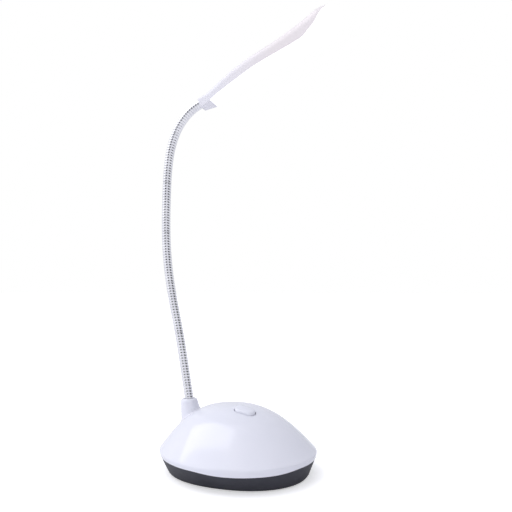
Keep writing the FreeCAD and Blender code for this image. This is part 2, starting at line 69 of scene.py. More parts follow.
# boss: the rim's X and Z, the neck's heading there, radii at rim and foot, depth, rounding of the rim
BOSS_X, BOSS_Z, NECK_HEADING = -33.2, 40.8, 100.4
BOSS_RIM, BOSS_FOOT, BOSS_DEPTH, RIM_ROUND = 5.05, 7.1, 16.5, 1.5
BOSS_SHIFT, RIM_TILT = -0.4, 0.12    # the collar sits a little behind the neck, its rim nearly level
FOOT_FILLET = 0.8                    # in front of the boss; behind it the fillet is twice as large
BOSS_MOUTH = [(3.3, 0.0), (3.1, -0.1), (3.0, -0.35), (3.0, -4.0)]  # radius and level of the hole for the neck

BUTTON = (8.1, -9.0, 39.3)           # middle of its top
BUTTON_LENGTH, BUTTON_WIDTH, BUTTON_GAP = 12.7, 8.3, 0.4
BUTTON_SLOPE = (-0.185, 0.191)       # its top follows the dome's slope
BUTTON_ROLL, BUTTON_CROWN, BUTTON_COLS = 1.5, 0.55, 96
BUTTON_SKIRT, BUTTON_CUT = (30.0, 34.0), (30.0, 50.0)  # levels of the cap's skirt and of its hole's cutter

# neck: the distance between its joints, how many there are, and its bend before, between and after them
SECTION, JOINTS = 16.6, 12
TURNS = [0.0, -0.3, 2.0, 1.0, -2.9, -4.4, -3.9, -2.7, -1.0, -6.0, -15.5, -25.1, -17.9]
NECK_LENGTH = SECTION * JOINTS
HOSE_R, RIB = 2.85, 0.34             # radius of the coil, and depth of the valley between its turns
SPAN = 19                            # turns between two fore-and-aft joints
PITCH = 2 * SECTION / SPAN
EDGE = 0.115                         # share of a turn left open each side of such a joint, to let it bend
RIB_ROWS = [0.0, 0.04, EDGE, 0.22, 0.36, 0.5, 0.64, 0.78, 1 - EDGE, 0.96]
ROOT_TURN, TIP_TURN = -16.5, 111.5   # first and last row of the coil, in turns from the first joint
SLIT = 0.008                         # half the slit where a turn ends at a joint, in radians
BALL, BALL_LIP, BALL_ROOM = 2.45, 2.2, 0.1  # ball in a joint, how far in the turn below closes, the play
BALL_BAND, BALL_ROWS = (-1.7, 1.9), 12  # the part of the ball that is built, along the neck
STRETCHES = JOINTS // 2 + 1
WIRE_R, WIRE_TUCK, WIRE_PLAY = 0.7, 0.12, 0.06  # lead's radius, its gap below a joint, its ball's play
WIRE_ROOT, WIRE_TIP = -24.0, 12.5    # where the lead starts and ends, from each end of the neck

HEAD_TILT = 24.0
# u along the head, half width, underside, top
STATIONS = [(2.4, 3.8, -3.9, 3.3), (5.0, 4.3, -4.2, 3.2), (10.5, 6.0, -4.6, 2.9), (16.0, 6.5, -3.7, 3.9),
            (22.0, 6.9, -2.8, 5.2), (28.0, 7.5, -2.3, 6.3), (36.0, 8.5, -2.1, 7.1), (45.0, 9.2, -2.1, 7.5),
            (54.0, 9.5, -2.4, 7.6), (64.0, 9.7, -2.8, 7.7), (76.0, 10.6, -3.2, 8.4), (86.0, 11.9, -2.7, 9.2),
            (96.0, 13.3, -1.7, 10.1), (108.0, 14.1, 0.4, 10.9)]
# u along the head, height of the parting line between the shell and the light panel
PART_LINE = [(10.6, -3.9), (14.0, -3.3), (20.0, -2.6), (26.0, -2.1), (36.0, -1.75), (45.0, -1.55),
             (54.0, -1.7), (64.0, -2.1), (74.0, -2.7), (80.0, -2.6), (84.0, -1.2), (88.0, 0.1),
             (92.0, 2.5), (96.0, 5.5), (100.0, 7.9), (108.0, 12.5)]
COLLAR_END, PANEL_START = 10.6, 10.65
COLLAR_ROWS = 16
TIP_START, HEAD_END, TIP_LEVEL = 84.0, 105.5, 5.3
# size of the tip's half width, and of its depth below and above TIP_LEVEL, each with its two powers
TIP_HALF, TIP_BELOW, TIP_ABOVE = (13.5, 2.63, 0.52), (8.1, 2.52, 0.4), (5.0, 6.5, 0.5)

ROOM = (0.68, 0.90)                  # the room's level on its dark and bright sides
ROOM_TINT = (0.93, 0.94, 1.0, 1)
ROOM_BRIGHT_SIDE = (-0.80, -0.25, 0.55)
# the room's dark gaps: direction, half width, level that is left
ROOM_GAPS = [((-0.097, -0.993, 0.0), 17.0, 0.10), ((0.995, -0.095, 0.0), 20.0, 0.08)]
GAP_TOP = (0.65, 0.85)               # sine of the elevation over which the gaps end
FLOOR_SIZE, FLOOR_LIFT = 30.0, 0.45  # half side in metres, and how much its seen colour is lifted

# camera: place in metres from the middle of the base, directions, focal length and frame's width in pixels
CAMERA_PLACE = (0.1192, -0.3031, 0.1079)
CAMERA_RIGHT, CAMERA_FORWARD = (0.9426, 0.3338, 0.0), (-0.3330, 0.9403, 0.0698)
SENSOR, FOCAL_PIXELS, FRAME_PIXELS = 36.0, 520, 512


def to_frame(x, y, z):
    return ((x - FX) * 0.001, y * 0.001, z * 0.001)


# ------------------------------------------------------------------ mesh helpers

def add_object(name, data):
    obj = bpy.data.objects.new(name, data)
    bpy.context.scene.collection.objects.link(obj)
    return obj


def mesh_object(name, points, faces, smooth=True):
    mesh = bpy.data.meshes.new(name)
    mesh.from_pydata([to_frame(*p) for p in points], [], faces)
    mesh.update()
    if smooth:
        mesh.polygons.foreach_set("use_smooth", [True] * len(mesh.polygons))
    return add_object(name, mesh)


def sharpen(obj, degrees=35):
    obj.data.set_sharp_from_angle(angle=math.radians(degrees))


def round_angles(count):
    return [2 * math.pi * c / count for c in range(count)]


def grid_faces(rows, cols, closed, start=0):
    """Quads of a grid of points stored row by row; closed joins each row's end to its start."""
    faces = []
    for r in range(rows - 1):
        for c in range(cols if closed else cols - 1):
            d = (c + 1) % cols
            faces.append((start + r * cols + c, start + r * cols + d,
                          start + (r + 1) * cols + d, start + (r + 1) * cols + c))
    return faces


def grid_normals(points, rows, cols):
    q = points.reshape(rows, cols, 3)
    n = np.cross(np.roll(q, -1, 1) - np.roll(q, 1, 1), np.gradient(q, axis=0)).reshape(-1, 3)
    return n / (np.linalg.norm(n, axis=1)[:, None] + 1e-12)


def interp(table, u):
    """Smooth values at u from a table of (u, value...): cubics whose slope at a row is its chords' mean."""
    xs = [row[0] for row in table]
    k = min(max(np.searchsorted(xs, u) - 1, 0), len(xs) - 2)
    x0, x1 = xs[k], xs[k + 1]
    t = min(max((u - x0) / (x1 - x0), 0.0), 1.0)
    out = []
    for c in range(1, len(table[0])):
        y0, y1 = table[k][c], table[k + 1][c]
        d = (y1 - y0) / (x1 - x0)
        da = (y0 - table[k - 1][c]) / (x0 - xs[k - 1]) if k > 0 else d
        db = (table[k + 2][c] - y1) / (xs[k + 2] - x1) if k + 2 < len(xs) else d
        m0, m1 = 0.5 * (d + da) * (x1 - x0), 0.5 * (d + db) * (x1 - x0)
        out.append((2 * t ** 3 - 3 * t ** 2 + 1) * y0 + (t ** 3 - 2 * t ** 2 + t) * m0
                   + (3 * t ** 2 - 2 * t ** 3) * y1 + (t ** 3 - t ** 2) * m1)
    return out


def smooth_min(a, b, k):
    h = np.clip(k - np.abs(a - b), 0, None) / k
    return np.minimum(a, b) - h * h * k / 4


# ------------------------------------------------------------------ node helpers

def noise(tree, scale, detail=3.0, stretch=(1, 1, 1)):
    coord = tree.nodes.new("ShaderNodeTexCoord")
    mapping = tree.nodes.new("ShaderNodeMapping")
    mapping.inputs["Scale"].default_value = stretch
    tex = tree.nodes.new("ShaderNodeTexNoise")
    tex.inputs["Scale"].default_value = scale
    tex.inputs["Detail"].default_value = detail
    tree.links.new(coord.outputs["Object"], mapping.inputs["Vector"])
    tree.links.new(mapping.outputs["Vector"], tex.inputs["Vector"])
    return tex.outputs["Fac"]


def coordinate(tree, kind, axis):
    coord = tree.nodes.new("ShaderNodeTexCoord")
    split = tree.nodes.new("ShaderNodeSeparateXYZ")
    tree.links.new(coord.outputs[kind], split.inputs["Vector"])
    return split.outputs[axis]


def ramp(tree, value, low, high):
    node = tree.nodes.new("ShaderNodeValToRGB")
    for stop, place, color in zip(node.color_ramp.elements, (0.3, 0.7), (low, high)):
        stop.position = place
        stop.color = (*color, 1)
    tree.links.new(value, node.inputs["Fac"])
    return node.outputs["Color"]


def remap(tree, value, source, target, shape="LINEAR"):
    node = tree.nodes.new("ShaderNodeMapRange")
    node.interpolation_type = shape
    node.inputs["From Min"].default_value, node.inputs["From Max"].default_value = source
    node.inputs["To Min"].default_value, node.inputs["To Max"].default_value = target
    tree.links.new(value, node.inputs["Value"])
    return node.outputs["Result"]


def span(tree, value, low, high):
    return remap(tree, value, (0.0, 1.0), (low, high))


def bump(tree, shader, value, strength, distance):
    node = tree.nodes.new("ShaderNodeBump")
    node.inputs["Strength"].default_value = strength
    node.inputs["Distance"].default_value = distance
    tree.links.new(value, node.inputs["Height"])
    tree.links.new(node.outputs["Normal"], shader.inputs["Normal"])


def vector_op(tree, operation, view, value=None):
    node = tree.nodes.new("ShaderNodeVectorMath")
    node.operation = operation
    tree.links.new(view, node.inputs[0])
    if value is not None:
        node.inputs[1].default_value = value
    return node.outputs["Value" if operation == "DOT_PRODUCT" else "Vector"]


def math_op(tree, operation, *values):
    node = tree.nodes.new("ShaderNodeMath")
    node.operation = operation
    for k, value in enumerate(values):
        if isinstance(value, float):
            node.inputs[k].default_value = value
        else:
            tree.links.new(value, node.inputs[k])
    return node.outputs["Value"]


# ------------------------------------------------------------------- materials

def material(name, color, rough, metallic=0.0, coat=0.0, specular=0.5):
    mat = bpy.data.materials.new(name)
    mat.use_nodes = True
    shader = mat.node_tree.nodes["Principled BSDF"]
    shader.inputs["Base Color"].default_value = (*color, 1)
    shader.inputs["Roughness"].default_value = rough
    shader.inputs["Metallic"].default_value = metallic
    shader.inputs["Coat Weight"].default_value = coat
    shader.inputs["Specular IOR Level"].default_value = specular
    return mat, shader, mat.node_tree


def surface(tree, shader, tint, rough, height, strength, distance):
    """Feeds a material's colour, its roughness where that varies, and its fine relief."""
    tree.links.new(tint, shader.inputs["Base Color"])
    if rough is not None:
        tree.links.new(rough, shader.inputs["Roughness"])
    bump(tree, shader, height, strength, distance)


def white_plastic():
    mat, shader, tree = material("white_gloss_plastic", (0.79, 0.80, 0.88), 0.2, coat=0.35)
    shader.inputs["Coat Roughness"].default_value = 0.05
    tint = ramp(tree, noise(tree, 35.0), (0.77, 0.78, 0.87), (0.80, 0.805, 0.89))
    rough = span(tree, noise(tree, 180.0), 0.12, 0.22)
    surface(tree, shader, tint, rough, noise(tree, 60.0, 1.0), 0.012, 0.0003)
    return mat


def head_plastic():
    """The head's white, lavender at the collar and faintly pink towards the tip."""
    mat, shader, tree = material("white_head_plastic", (0.81, 0.79, 0.82), 0.3, specular=0.3)
    along = remap(tree, coordinate(tree, "Object", "X"), (-0.05, 0.05), (0.0, 1.0))
    tint = ramp(tree, along, (0.79, 0.78, 0.84), (0.82, 0.77, 0.79))
    rough = span(tree, noise(tree, 60.0), 0.26, 0.36)
    surface(tree, shader, tint, rough, noise(tree, 90.0, 1.0), 0.01, 0.0002)
    return mat


def charcoal_plastic():
    mat, shader, tree = material("charcoal_plastic", (0.050, 0.051, 0.062), 0.42, specular=0.15)
    tint = ramp(tree, noise(tree, 60.0), (0.042, 0.043, 0.054), (0.058, 0.059, 0.072))
    rough = span(tree, noise(tree, 900.0), 0.36, 0.52)
    surface(tree, shader, tint, rough, noise(tree, 3500.0, 2.0), 0.25, 0.00006)
    return mat


def chrome():
    mat, shader, tree = material("chrome", (0.86, 0.86, 0.88), 0.13, metallic=1.0)
    tint = ramp(tree, noise(tree, 90.0), (0.80, 0.80, 0.83), (0.90, 0.90, 0.92))
    rough = span(tree, noise(tree, 400.0), 0.08, 0.2)
    surface(tree, shader, tint, rough, noise(tree, 1500.0, 2.0), 0.06, 0.00005)
    return mat


def diffuser():
    """Lit white plastic; its far side, turned from the light board, is a little dimmer and warmer."""
    mat, shader, tree = material("lit_diffuser", (0.93, 0.93, 0.93), 0.28)
    far = remap(tree, coordinate(tree, "Normal", "Y"), (0.1, 0.7), (0.0, 1.0))
    glow = ramp(tree, far, (1.0, 1.0, 1.0), (1.0, 0.95, 0.86))
    tree.links.new(glow, shader.inputs["Emission Color"])
    tree.links.new(span(tree, far, 0.75, 0.35), shader.inputs["Emission Strength"])
    tint = ramp(tree, noise(tree, 50.0), (0.90, 0.90, 0.91), (0.96, 0.96, 0.96))
    surface(tree, shader, tint, None, noise(tree, 1200.0, 2.0), 0.05, 0.00005)
    return mat


def plain(name, low, high, scale, rough, height=0.1):
    mat, shader, tree = material(name, high, rough)
    tint = ramp(tree, noise(tree, scale), low, high)
    varied = span(tree, noise(tree, scale * 4), rough * 0.8, min(rough * 1.2, 1.0))
    surface(tree, shader, tint, varied, noise(tree, scale * 10, 2.0), height, 0.00005)
    return mat


def brushed(name, color, rough):
    mat, shader, tree = material(name, color, rough, metallic=1.0)
    fine = noise(tree, 300.0, 4.0, (1, 12, 1))
    tint = ramp(tree, fine, tuple(0.8 * c for c in color), color)
    surface(tree, shader, tint, span(tree, fine, rough * 0.8, rough * 1.3), fine, 0.08, 0.00004)
    return mat


WHITE = white_plastic()
HEAD_WHITE = head_plastic()
CHARCOAL = charcoal_plastic()
CHROME = chrome()
DIFFUSER = diffuser()
RUBBER = plain("black_rubber", (0.02, 0.02, 0.021), (0.035, 0.035, 0.036), 400.0, 0.8, height=0.3)
STEEL = brushed("zinc_steel", (0.55, 0.55, 0.57), 0.35)
NICKEL = brushed("nickel_strip", (0.68, 0.66, 0.62), 0.28)
JACKET = plain("cell_jacket", (0.05, 0.09, 0.22), (0.08, 0.13, 0.3), 80.0, 0.35, height=0.05)
BOARD = plain("solder_mask", (0.03, 0.2, 0.08), (0.05, 0.28, 0.12), 300.0, 0.35)
SWITCH = plain("switch_moulding", (0.02, 0.02, 0.022), (0.04, 0.04, 0.042), 300.0, 0.45)
SHEATH = plain("wire_sheath", (0.03, 0.03, 0.03), (0.06, 0.06, 0.06), 300.0, 0.5)
PHOSPHOR = plain("phosphor", (0.85, 0.72, 0.3), (0.95, 0.85, 0.42), 900.0, 0.5)

# the gooseneck's sections, which aren't listed, are chrome
CAD_FINISH = {
    "upper_housing": WHITE, "base_tray": CHARCOAL, "battery_door": CHARCOAL, "rubber_feet": RUBBER,
    "housing_screws": STEEL, "battery_left": JACKET, "battery_middle": JACKET, "battery_right": JACKET,
    "contacts_front": NICKEL, "contacts_rear": NICKEL, "switch_board": BOARD, "switch_body": SWITCH,
    "switch_stem": SWITCH, "switch_button": WHITE, "neck_nut": STEEL, "neck_wire": SHEATH,
    "head_shell": HEAD_WHITE, "head_diffuser": DIFFUSER, "led_board": BOARD, "leds": PHOSPHOR,
    "led_resistor": SWITCH}


def dress_cad():
    for name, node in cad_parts.items():
        node.data.materials.clear()
        node.data.materials.append(CAD_FINISH.get(name, CHROME))


def finish_piece(obj, mat, body, slot, *nodes):
    obj.data.materials.append(mat)
    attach(obj, body)
    if nodes:
        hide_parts(*nodes)


# ------------------------------------------------------------------------- base

BOSS_TOP = np.array([BOSS_X + BOSS_SHIFT, 0.0, BOSS_Z])


def boss_axis():
    a = math.radians(NECK_HEADING)
    return np.array([math.cos(a), 0.0, math.sin(a)])


def boss_front():
    """Across the boss's axis, towards the dome's other end."""
    axis = boss_axis()
    return np.array([axis[2], 0.0, -axis[0]])


def boss_offsets(points):
    """Length along the boss's axis, and the offset from it, of each point."""
    axis = boss_axis()
    rel = points - BOSS_TOP
    along = rel @ axis
    return along, rel - np.outer(along, axis)


def boss_distance(points):
    """Distance outside the boss's tapered side, and the side that a point is on (1 in front, -1 behind)."""
    along, off = boss_offsets(points)
    radius = BOSS_RIM + (BOSS_FOOT - BOSS_RIM) * np.clip(-along / BOSS_DEPTH, 0, 1.2)
    front = off @ boss_front()
    return np.linalg.norm(off, axis=1) - radius, front / (np.linalg.norm(off, axis=1) + 1e-9)


def fillet_size(front):
    """The moulded fillet at the boss's foot."""
    return FOOT_FILLET + FOOT_FILLET * (0.5 - 0.5 * front)


def dome_height(k):
    """Height of the dome at a share k of its full width."""
    return Z_WIDE + (Z_APEX - Z_WIDE) * np.clip(1 - k ** CROWN, 0, 1) ** SIDE


def dome_gap(points):
    """Distance of each point above the dome's surface, measured across it."""
    x = points[:, 0] - LEAN * np.clip(points[:, 2] - Z_WIDE, 0, None)
    k = np.sqrt((x / DOME_A) ** 2 + (points[:, 1] / DOME_B) ** 2)
    rise = dome_height(np.clip(k + 0.01, 0, 1)) - dome_height(np.clip(k - 0.01, 0, 1))
    slope = rise / 0.02 / (0.5 * (DOME_A + DOME_B))
    return (points[:, 2] - dome_height(np.clip(k, 0, 1))) / np.sqrt(1 + slope ** 2)


def seam_height(phi):
    """Height of the seam between shell and pan at each angle."""
    d = DIP_SIDE[0] * np.cos(phi) + DIP_SIDE[1] * np.abs(np.sin(phi))
    f = np.clip((d - DIP_START) / (1 - DIP_START), 0, 1)
    return Z_SEAM + SEAM_RISE - SEAM_DIP * f * f * (3 - 2 * f)


def dome_rings(seam):
    """Height and share of the full width, all the way round, of each ring from the seam to the top."""
    rings = []
    for f in np.linspace(0, 1, HEM_ROWS):
        z = seam + (HEM_TOP[0] - seam) * f
        rings.append((z, np.array([interp(HEM, v)[0] for v in z])))
    for a in np.linspace(0, 1, DOME_ROWS)[1:]:
        k = HEM_TOP[1] * (1 - a) ** 0.9 + 0.004
        rings.append((np.full(DOME_COLS, dome_height(k)), np.full(DOME_COLS, k)))
    return rings


def swell_into_boss(points, normals):
    """Moves the dome's points outwards into the fillet round the boss's foot."""
    t = np.zeros(len(points))
    for _ in range(30):
        d, front = boss_distance(points + normals * t[:, None])
        t += np.clip(-smooth_min(t, d, fillet_size(front)), -0.5, 0.5) * 0.7 * (d > -0.3)
        t = np.clip(t, 0, 3.0)
    return points + normals * t[:, None]


def dome_shell():
    phi = np.linspace(0, 2 * math.pi, DOME_COLS, endpoint=False)
    seam = seam_height(phi)
    rings = dome_rings(seam)
    rows = len(rings)
    outside = []
    for z, k in rings:
        x = LEAN * np.clip(z - Z_WIDE, 0, None)
        outside.append(np.stack([x + DOME_A * k * np.cos(phi), DOME_B * k * np.sin(phi), z], 1))
    points = np.concatenate(outside)
    points = swell_into_boss(points, grid_normals(points, rows, DOME_COLS))
    faces = grid_faces(rows, DOME_COLS, True)
    faces.append(tuple(range((rows - 1) * DOME_COLS, rows * DOME_COLS)))

    start, edge = len(points), rings[0][1]
    turned = []
    for rise, inset in EDGE_TURN:
        a, b = DOME_A * edge - inset, DOME_B * edge - inset
        turned.append(np.stack([a * np.cos(phi), b * np.sin(phi), seam + rise], 1))
    points = np.concatenate([points] + turned)
    for c in range(DOME_COLS):
        d = (c + 1) % DOME_COLS
        faces.append((start + c, start + d, d, c))
    faces += [tuple(reversed(f)) for f in grid_faces(len(turned), DOME_COLS, True, start)]
    return mesh_object("dome", points.tolist(), faces)


def collar_profile():
    """Radius and length along the axis from the boss's foot, round its rim and into its mouth."""
    profile = [(BOSS_RIM + (BOSS_FOOT - BOSS_RIM) * (-s / BOSS_DEPTH), s)
               for s in np.linspace(-BOSS_DEPTH, -RIM_ROUND, 60)]
    profile += [(BOSS_RIM + 0.1 - RIM_ROUND * (1 - math.cos(a)), RIM_ROUND * (math.sin(a) - 1))
                for a in np.linspace(0, math.pi / 2, 10)[1:]]
    return profile + BOSS_MOUTH


def boss_collar():
    axis, side, across = boss_axis(), boss_front(), np.array([0.0, 1.0, 0.0])
    cols, profile = 72, collar_profile()
    points = np.array([BOSS_TOP + axis * s + side * r * math.cos(a) + across * r * math.sin(a)
                       for r, s in profile for a in round_angles(cols)])
    along, off = boss_offsets(points)
    radius = np.linalg.norm(off, axis=1)
    out = off / (radius[:, None] + 1e-9)
    fillet = fillet_size(out @ side)
    t = np.zeros(len(points))
    for _ in range(40):
        t += np.clip(-smooth_min(t, dome_gap(points + out * t[:, None]), fillet), -0.5, 0.5) * 0.5
        t = np.clip(t, 0, 2.0)
    t = np.where((along < -RIM_ROUND) & (dome_gap(points) > -0.3), t, 0)
    points = points + out * t[:, None]
    near_rim = np.clip(along / 4.0 + 1, 0, 1)
    points = points - np.outer(near_rim * RIM_TILT * (off @ side), axis)
    mouth = np.clip((BOSS_RIM - 1.2 - radius) / 0.6, 0, 1)
    points[:, 0] -= BOSS_SHIFT * mouth       # the hole stays round the neck
    return mesh_object("neck_collar", points.tolist(), grid_faces(len(profile), cols, True))


def oval(length, width, grow=0.0):
    """Points round a rounded-end oval centred on the button."""
    r = width / 2 + grow
    k = length / 2 - width / 2
    return [(BUTTON[0] + (k if math.cos(a) >= 0 else -k) + r * math.cos(a), BUTTON[1] + r * math.sin(a))
            for a in round_angles(BUTTON_COLS)]


def button_cutter():
    ring = oval(BUTTON_LENGTH, BUTTON_WIDTH, BUTTON_GAP)
    n = len(ring)
    points = [(x, y, z) for z in BUTTON_CUT for x, y in ring]
    faces = grid_faces(2, n, True) + [tuple(reversed(range(n))), tuple(range(n, 2 * n))]
    return mesh_object("button_cutter", points, faces, smooth=False)


def cut_button_hole(dome):
    """Gives the shell its thickness and cuts the button's hole through it."""
    cutter = button_cutter()
    wall = dome.modifiers.new("thickness", "SOLIDIFY")
    wall.thickness = DOME_THICKNESS * 0.001
    wall.offset = -1
    cut = dome.modifiers.new("hole", "BOOLEAN")
    cut.object = cutter
    cut.operation = "DIFFERENCE"
    cut.solver = "EXACT"
    depsgraph = bpy.context.evaluated_depsgraph_get()
    mesh = bpy.data.meshes.new_from_object(dome.evaluated_get(depsgraph))
    dome.modifiers.clear()
    dome.data = mesh
    bpy.data.objects.remove(cutter)


def button_top(x, y):
    return BUTTON[2] + BUTTON_SLOPE[0] * (x - BUTTON[0]) + BUTTON_SLOPE[1] * (y - BUTTON[1])


def button_cap():
    """A softly crowned cap whose edge rolls over into an upright skirt."""
    rows = [[(x, y, z) for x, y in oval(BUTTON_LENGTH, BUTTON_WIDTH)] for z in BUTTON_SKIRT]
    for a in np.linspace(0, math.pi / 2, 10):
        ring = oval(BUTTON_LENGTH, BUTTON_WIDTH, -BUTTON_ROLL * (1 - math.cos(a)))
        rows.append([(x, y, button_top(x, y) - BUTTON_ROLL + BUTTON_ROLL * math.sin(a)) for x, y in ring])
    for f in np.linspace(0, 1, 12)[1:]:
        row = []
        for x, y in oval(BUTTON_LENGTH - 2 * BUTTON_ROLL, BUTTON_WIDTH - 2 * BUTTON_ROLL):
            px = BUTTON[0] + (x - BUTTON[0]) * (1 - f)
            py = BUTTON[1] + (y - BUTTON[1]) * (1 - f)
            row.append((px, py, button_top(px, py) + BUTTON_CROWN * (1 - (1 - f) ** 2)))
        rows.append(row)
    points = [p for row in rows for p in row]
    return mesh_object("button_cap", points, grid_faces(len(rows), BUTTON_COLS, True))


def pan_ring(phi, z, inset):
    """A ring of the pan's outside: an oval above, fuller at the corners below."""
    f = (z - PAN_LOW[0]) / (PAN_TOP[0] - PAN_LOW[0])
    a, b, n, x = [low + (top - low) * f for low, top in zip(PAN_LOW[1:], PAN_TOP[1:])]
    c, s = np.cos(phi), np.sin(phi)
    px = x + (a - inset) * np.sign(c) * np.abs(c) ** (2 / n)
    py = (b - inset) * np.sign(s) * np.abs(s) ** (2 / n)
    return np.stack([px, py, z], 1)


def pan_skin():
    """The dark pan's outside wall, open where the battery door slides out behind."""
    phi = np.linspace(0, 2 * math.pi, PAN_COLS, endpoint=False)
    seam = seam_height(phi)
    floor = np.full(PAN_COLS, PAN_FLOOR)
    rows = [pan_ring(phi, floor, 2.6), pan_ring(phi, floor, 0.5)]
    for z in (0.65, 0.85, 1.2, 2.0, DOOR_TOP, PAN_BEND):
        rows.append(pan_ring(phi, np.full(PAN_COLS, z), max(0.3 - 0.5 * (z - PAN_FLOOR), 0.0)))
    for f in np.linspace(0.1, 1.0, 10):
        rows.append(pan_ring(phi, PAN_BEND + (seam - 0.12 - PAN_BEND) * f, 0.0))
    rows.append(pan_ring(phi, seam - 0.1, 1.6))
    points = np.concatenate(rows)
    faces = []
    for face in grid_faces(len(rows), PAN_COLS, True):
        x, y, z = points[list(face)].mean(0)
        if not (x < 0 and abs(y) < DOOR_HALF + DOOR_GAP and z < DOOR_TOP):
            faces.append(face)
    return mesh_object("pan_skin", points.tolist(), faces)


def build_base():
    dome = dome_shell()
    cut_button_hole(dome)
    sharpen(dome)
    finish_piece(dome, WHITE, "base", "white_gloss", "upper_housing")
    collar = boss_collar()
    sharpen(collar, 50)
    finish_piece(collar, WHITE, "base", "white_gloss")
    finish_piece(button_cap(), WHITE, "button", "white_gloss", "switch_button")
    skin = pan_skin()
    sharpen(skin, 50)
    finish_piece(skin, CHARCOAL, "base", "charcoal")


# ------------------------------------------------------------------------- neck

def arc_end(x, z, h, length, turn):
    """Place and heading at the end of an arc of a given length and turn (in radians)."""
    chord = length if abs(turn) < 1e-9 else 2 * length / turn * math.sin(turn / 2)
    return x + chord * math.cos(h + turn / 2), z + chord * math.sin(h + turn / 2), h + turn


def neck_frames():
    """Place and heading at the collar's rim, at each joint and at the neck's end."""
    out = [(BOSS_X, BOSS_Z, math.radians(NECK_HEADING))]
    for k, turn in enumerate(TURNS):
        length = SECTION / 2 if k in (0, JOINTS) else SECTION
        out.append(arc_end(*out[-1], length, math.radians(turn)))
    return out


FRAMES = neck_frames()


def neck_at(s):
    """Centre and heading of the neck's centre line at length s from the collar's rim."""
    if s <= 0:
        return arc_end(*FRAMES[0], s, 0.0)
    if s >= NECK_LENGTH:
        return arc_end(*FRAMES[-1], s - NECK_LENGTH, 0.0)
    k = 0 if s < SECTION / 2 else min(int((s - SECTION / 2) / SECTION) + 1, JOINTS)
    begin = 0.0 if k == 0 else SECTION / 2 + (k - 1) * SECTION
    length = SECTION / 2 if k in (0, JOINTS) else SECTION
    return arc_end(*FRAMES[k], s - begin, math.radians(TURNS[k]) * (s - begin) / length)


def neck_point(s, r, a):
    x, z, h = neck_at(s)
    return (x - math.sin(h) * r * math.cos(a), r * math.sin(a), z + math.cos(h) * r * math.cos(a))


def rib(t):
    """Radius of a round-wire coil at row t: each turn is a rounded rib with a tight valley beside it."""
    return HOSE_R - RIB + RIB * math.sin(math.pi * (t % 1.0)) ** 0.35


def climb(t, a):
    """Length along the neck at angle a of row t.

    Rows climb with the coil, and row SPAN * m lies at fore-and-aft joint m."""
    return SECTION / 2 + PITCH * (t - 0.5 + a / (2 * math.pi))


def ball_rows(radius, s, low, high, count, cols):
    """A band of a ball about the neck's centre at length s."""
    x, z, h = neck_at(s)
    points = []
    for d in np.linspace(low, high, count):
        r = math.sqrt(max(radius ** 2 - d ** 2, 0.0))
        for a in round_angles(cols):
            points.append((x + d * math.cos(h) - math.sin(h) * r * math.cos(a), r * math.sin(a),
                           z + d * math.sin(h) + math.cos(h) * r * math.cos(a)))
    return points


def coil(name, t0, t1, joint_below, joint_above):
    """A stretch of the coil whose rows and ends follow its own valley.

    At a joint its end is closed inwards, and the stretch below carries the ball that fills the gap."""
    cols, turn = 48, len(RIB_ROWS)
    ts = [k + f for k in range(math.floor(t0), math.ceil(t1) + 1) for f in RIB_ROWS
          if t0 - 1e-6 <= k + f <= t1 + 1e-6]
    n = len(ts)
    at = []                              # angle and row of each point
    for i, t in enumerate(ts):
        at += [(SLIT if a == 0 and i < turn else a, t) for a in round_angles(cols)]
    at += [(2 * math.pi - SLIT, t) for t in ts[-turn:]]
    points = [neck_point(climb(t, a), rib(t), a) for a, t in at]

    def index(i, c):
        """Point of row i and column c; a row's end is the start of the row one turn up, if there is one."""
        if c < cols:
            return i * cols + c
        return (i + turn) * cols if i + turn < n else n * cols + i - (n - turn)

    faces = [(index(i, c), index(i, c + 1), index(i + 1, c + 1), index(i + 1, c))
             for i in range(n - 1) for c in range(cols)]
    walls = []
    if joint_below:
        step = [index(i, 0) for i in range(turn - 1, 0, -1)]
        walls.append((([index(0, c) for c in range(cols + 1)] + step)[::-1], BALL + BALL_ROOM))
    if joint_above:
        step = [index(i, cols) for i in range(n - 2, n - turn - 1, -1)]
        walls.append(([index(n - 1, c) for c in range(cols + 1)] + step, BALL_LIP))
    for rim, radius in walls:
        start, m = len(points), len(rim)
        points += [neck_point(climb(at[v][1], at[v][0]), radius, at[v][0]) for v in rim]
        faces += [(rim[k], rim[(k + 1) % m], start + (k + 1) % m, start + k) for k in range(m)]
    if joint_above:
        faces += grid_faces(BALL_ROWS, cols, True, len(points))
        points += ball_rows(BALL, SECTION / 2 + PITCH * round(t1), *BALL_BAND, BALL_ROWS, cols)
    return mesh_object(name, points, faces)


def strand(name, s0, s1, joint_above):
    """A stretch of the lead inside the coil; at a joint it ends in a ball that the next one turns about."""
    cols, ball = 12, WIRE_R - WIRE_PLAY
    rows = np.linspace(s0, s1 - (WIRE_TUCK if joint_above else 0.0), max(int((s1 - s0) / 1.6), 2))
    points = [neck_point(s, WIRE_R, a) for s in rows for a in round_angles(cols)]
    if joint_above:
        points += ball_rows(ball, s1, -WIRE_TUCK, ball, 6, cols)
    return mesh_object(name, points, grid_faces(len(points) // cols, cols, True))


def finish_stretch(piece, m, mat, slot, *nodes):
    """The lowest stretch rides on the base; each other one is left where it is built, attached to no body, as
    it curves over its own sideways joint.
    """
    if m == 0:
        finish_piece(piece, mat, "base", slot, *nodes)
        return
    piece.data.materials.append(mat)
    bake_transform(piece)
    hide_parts(*nodes)


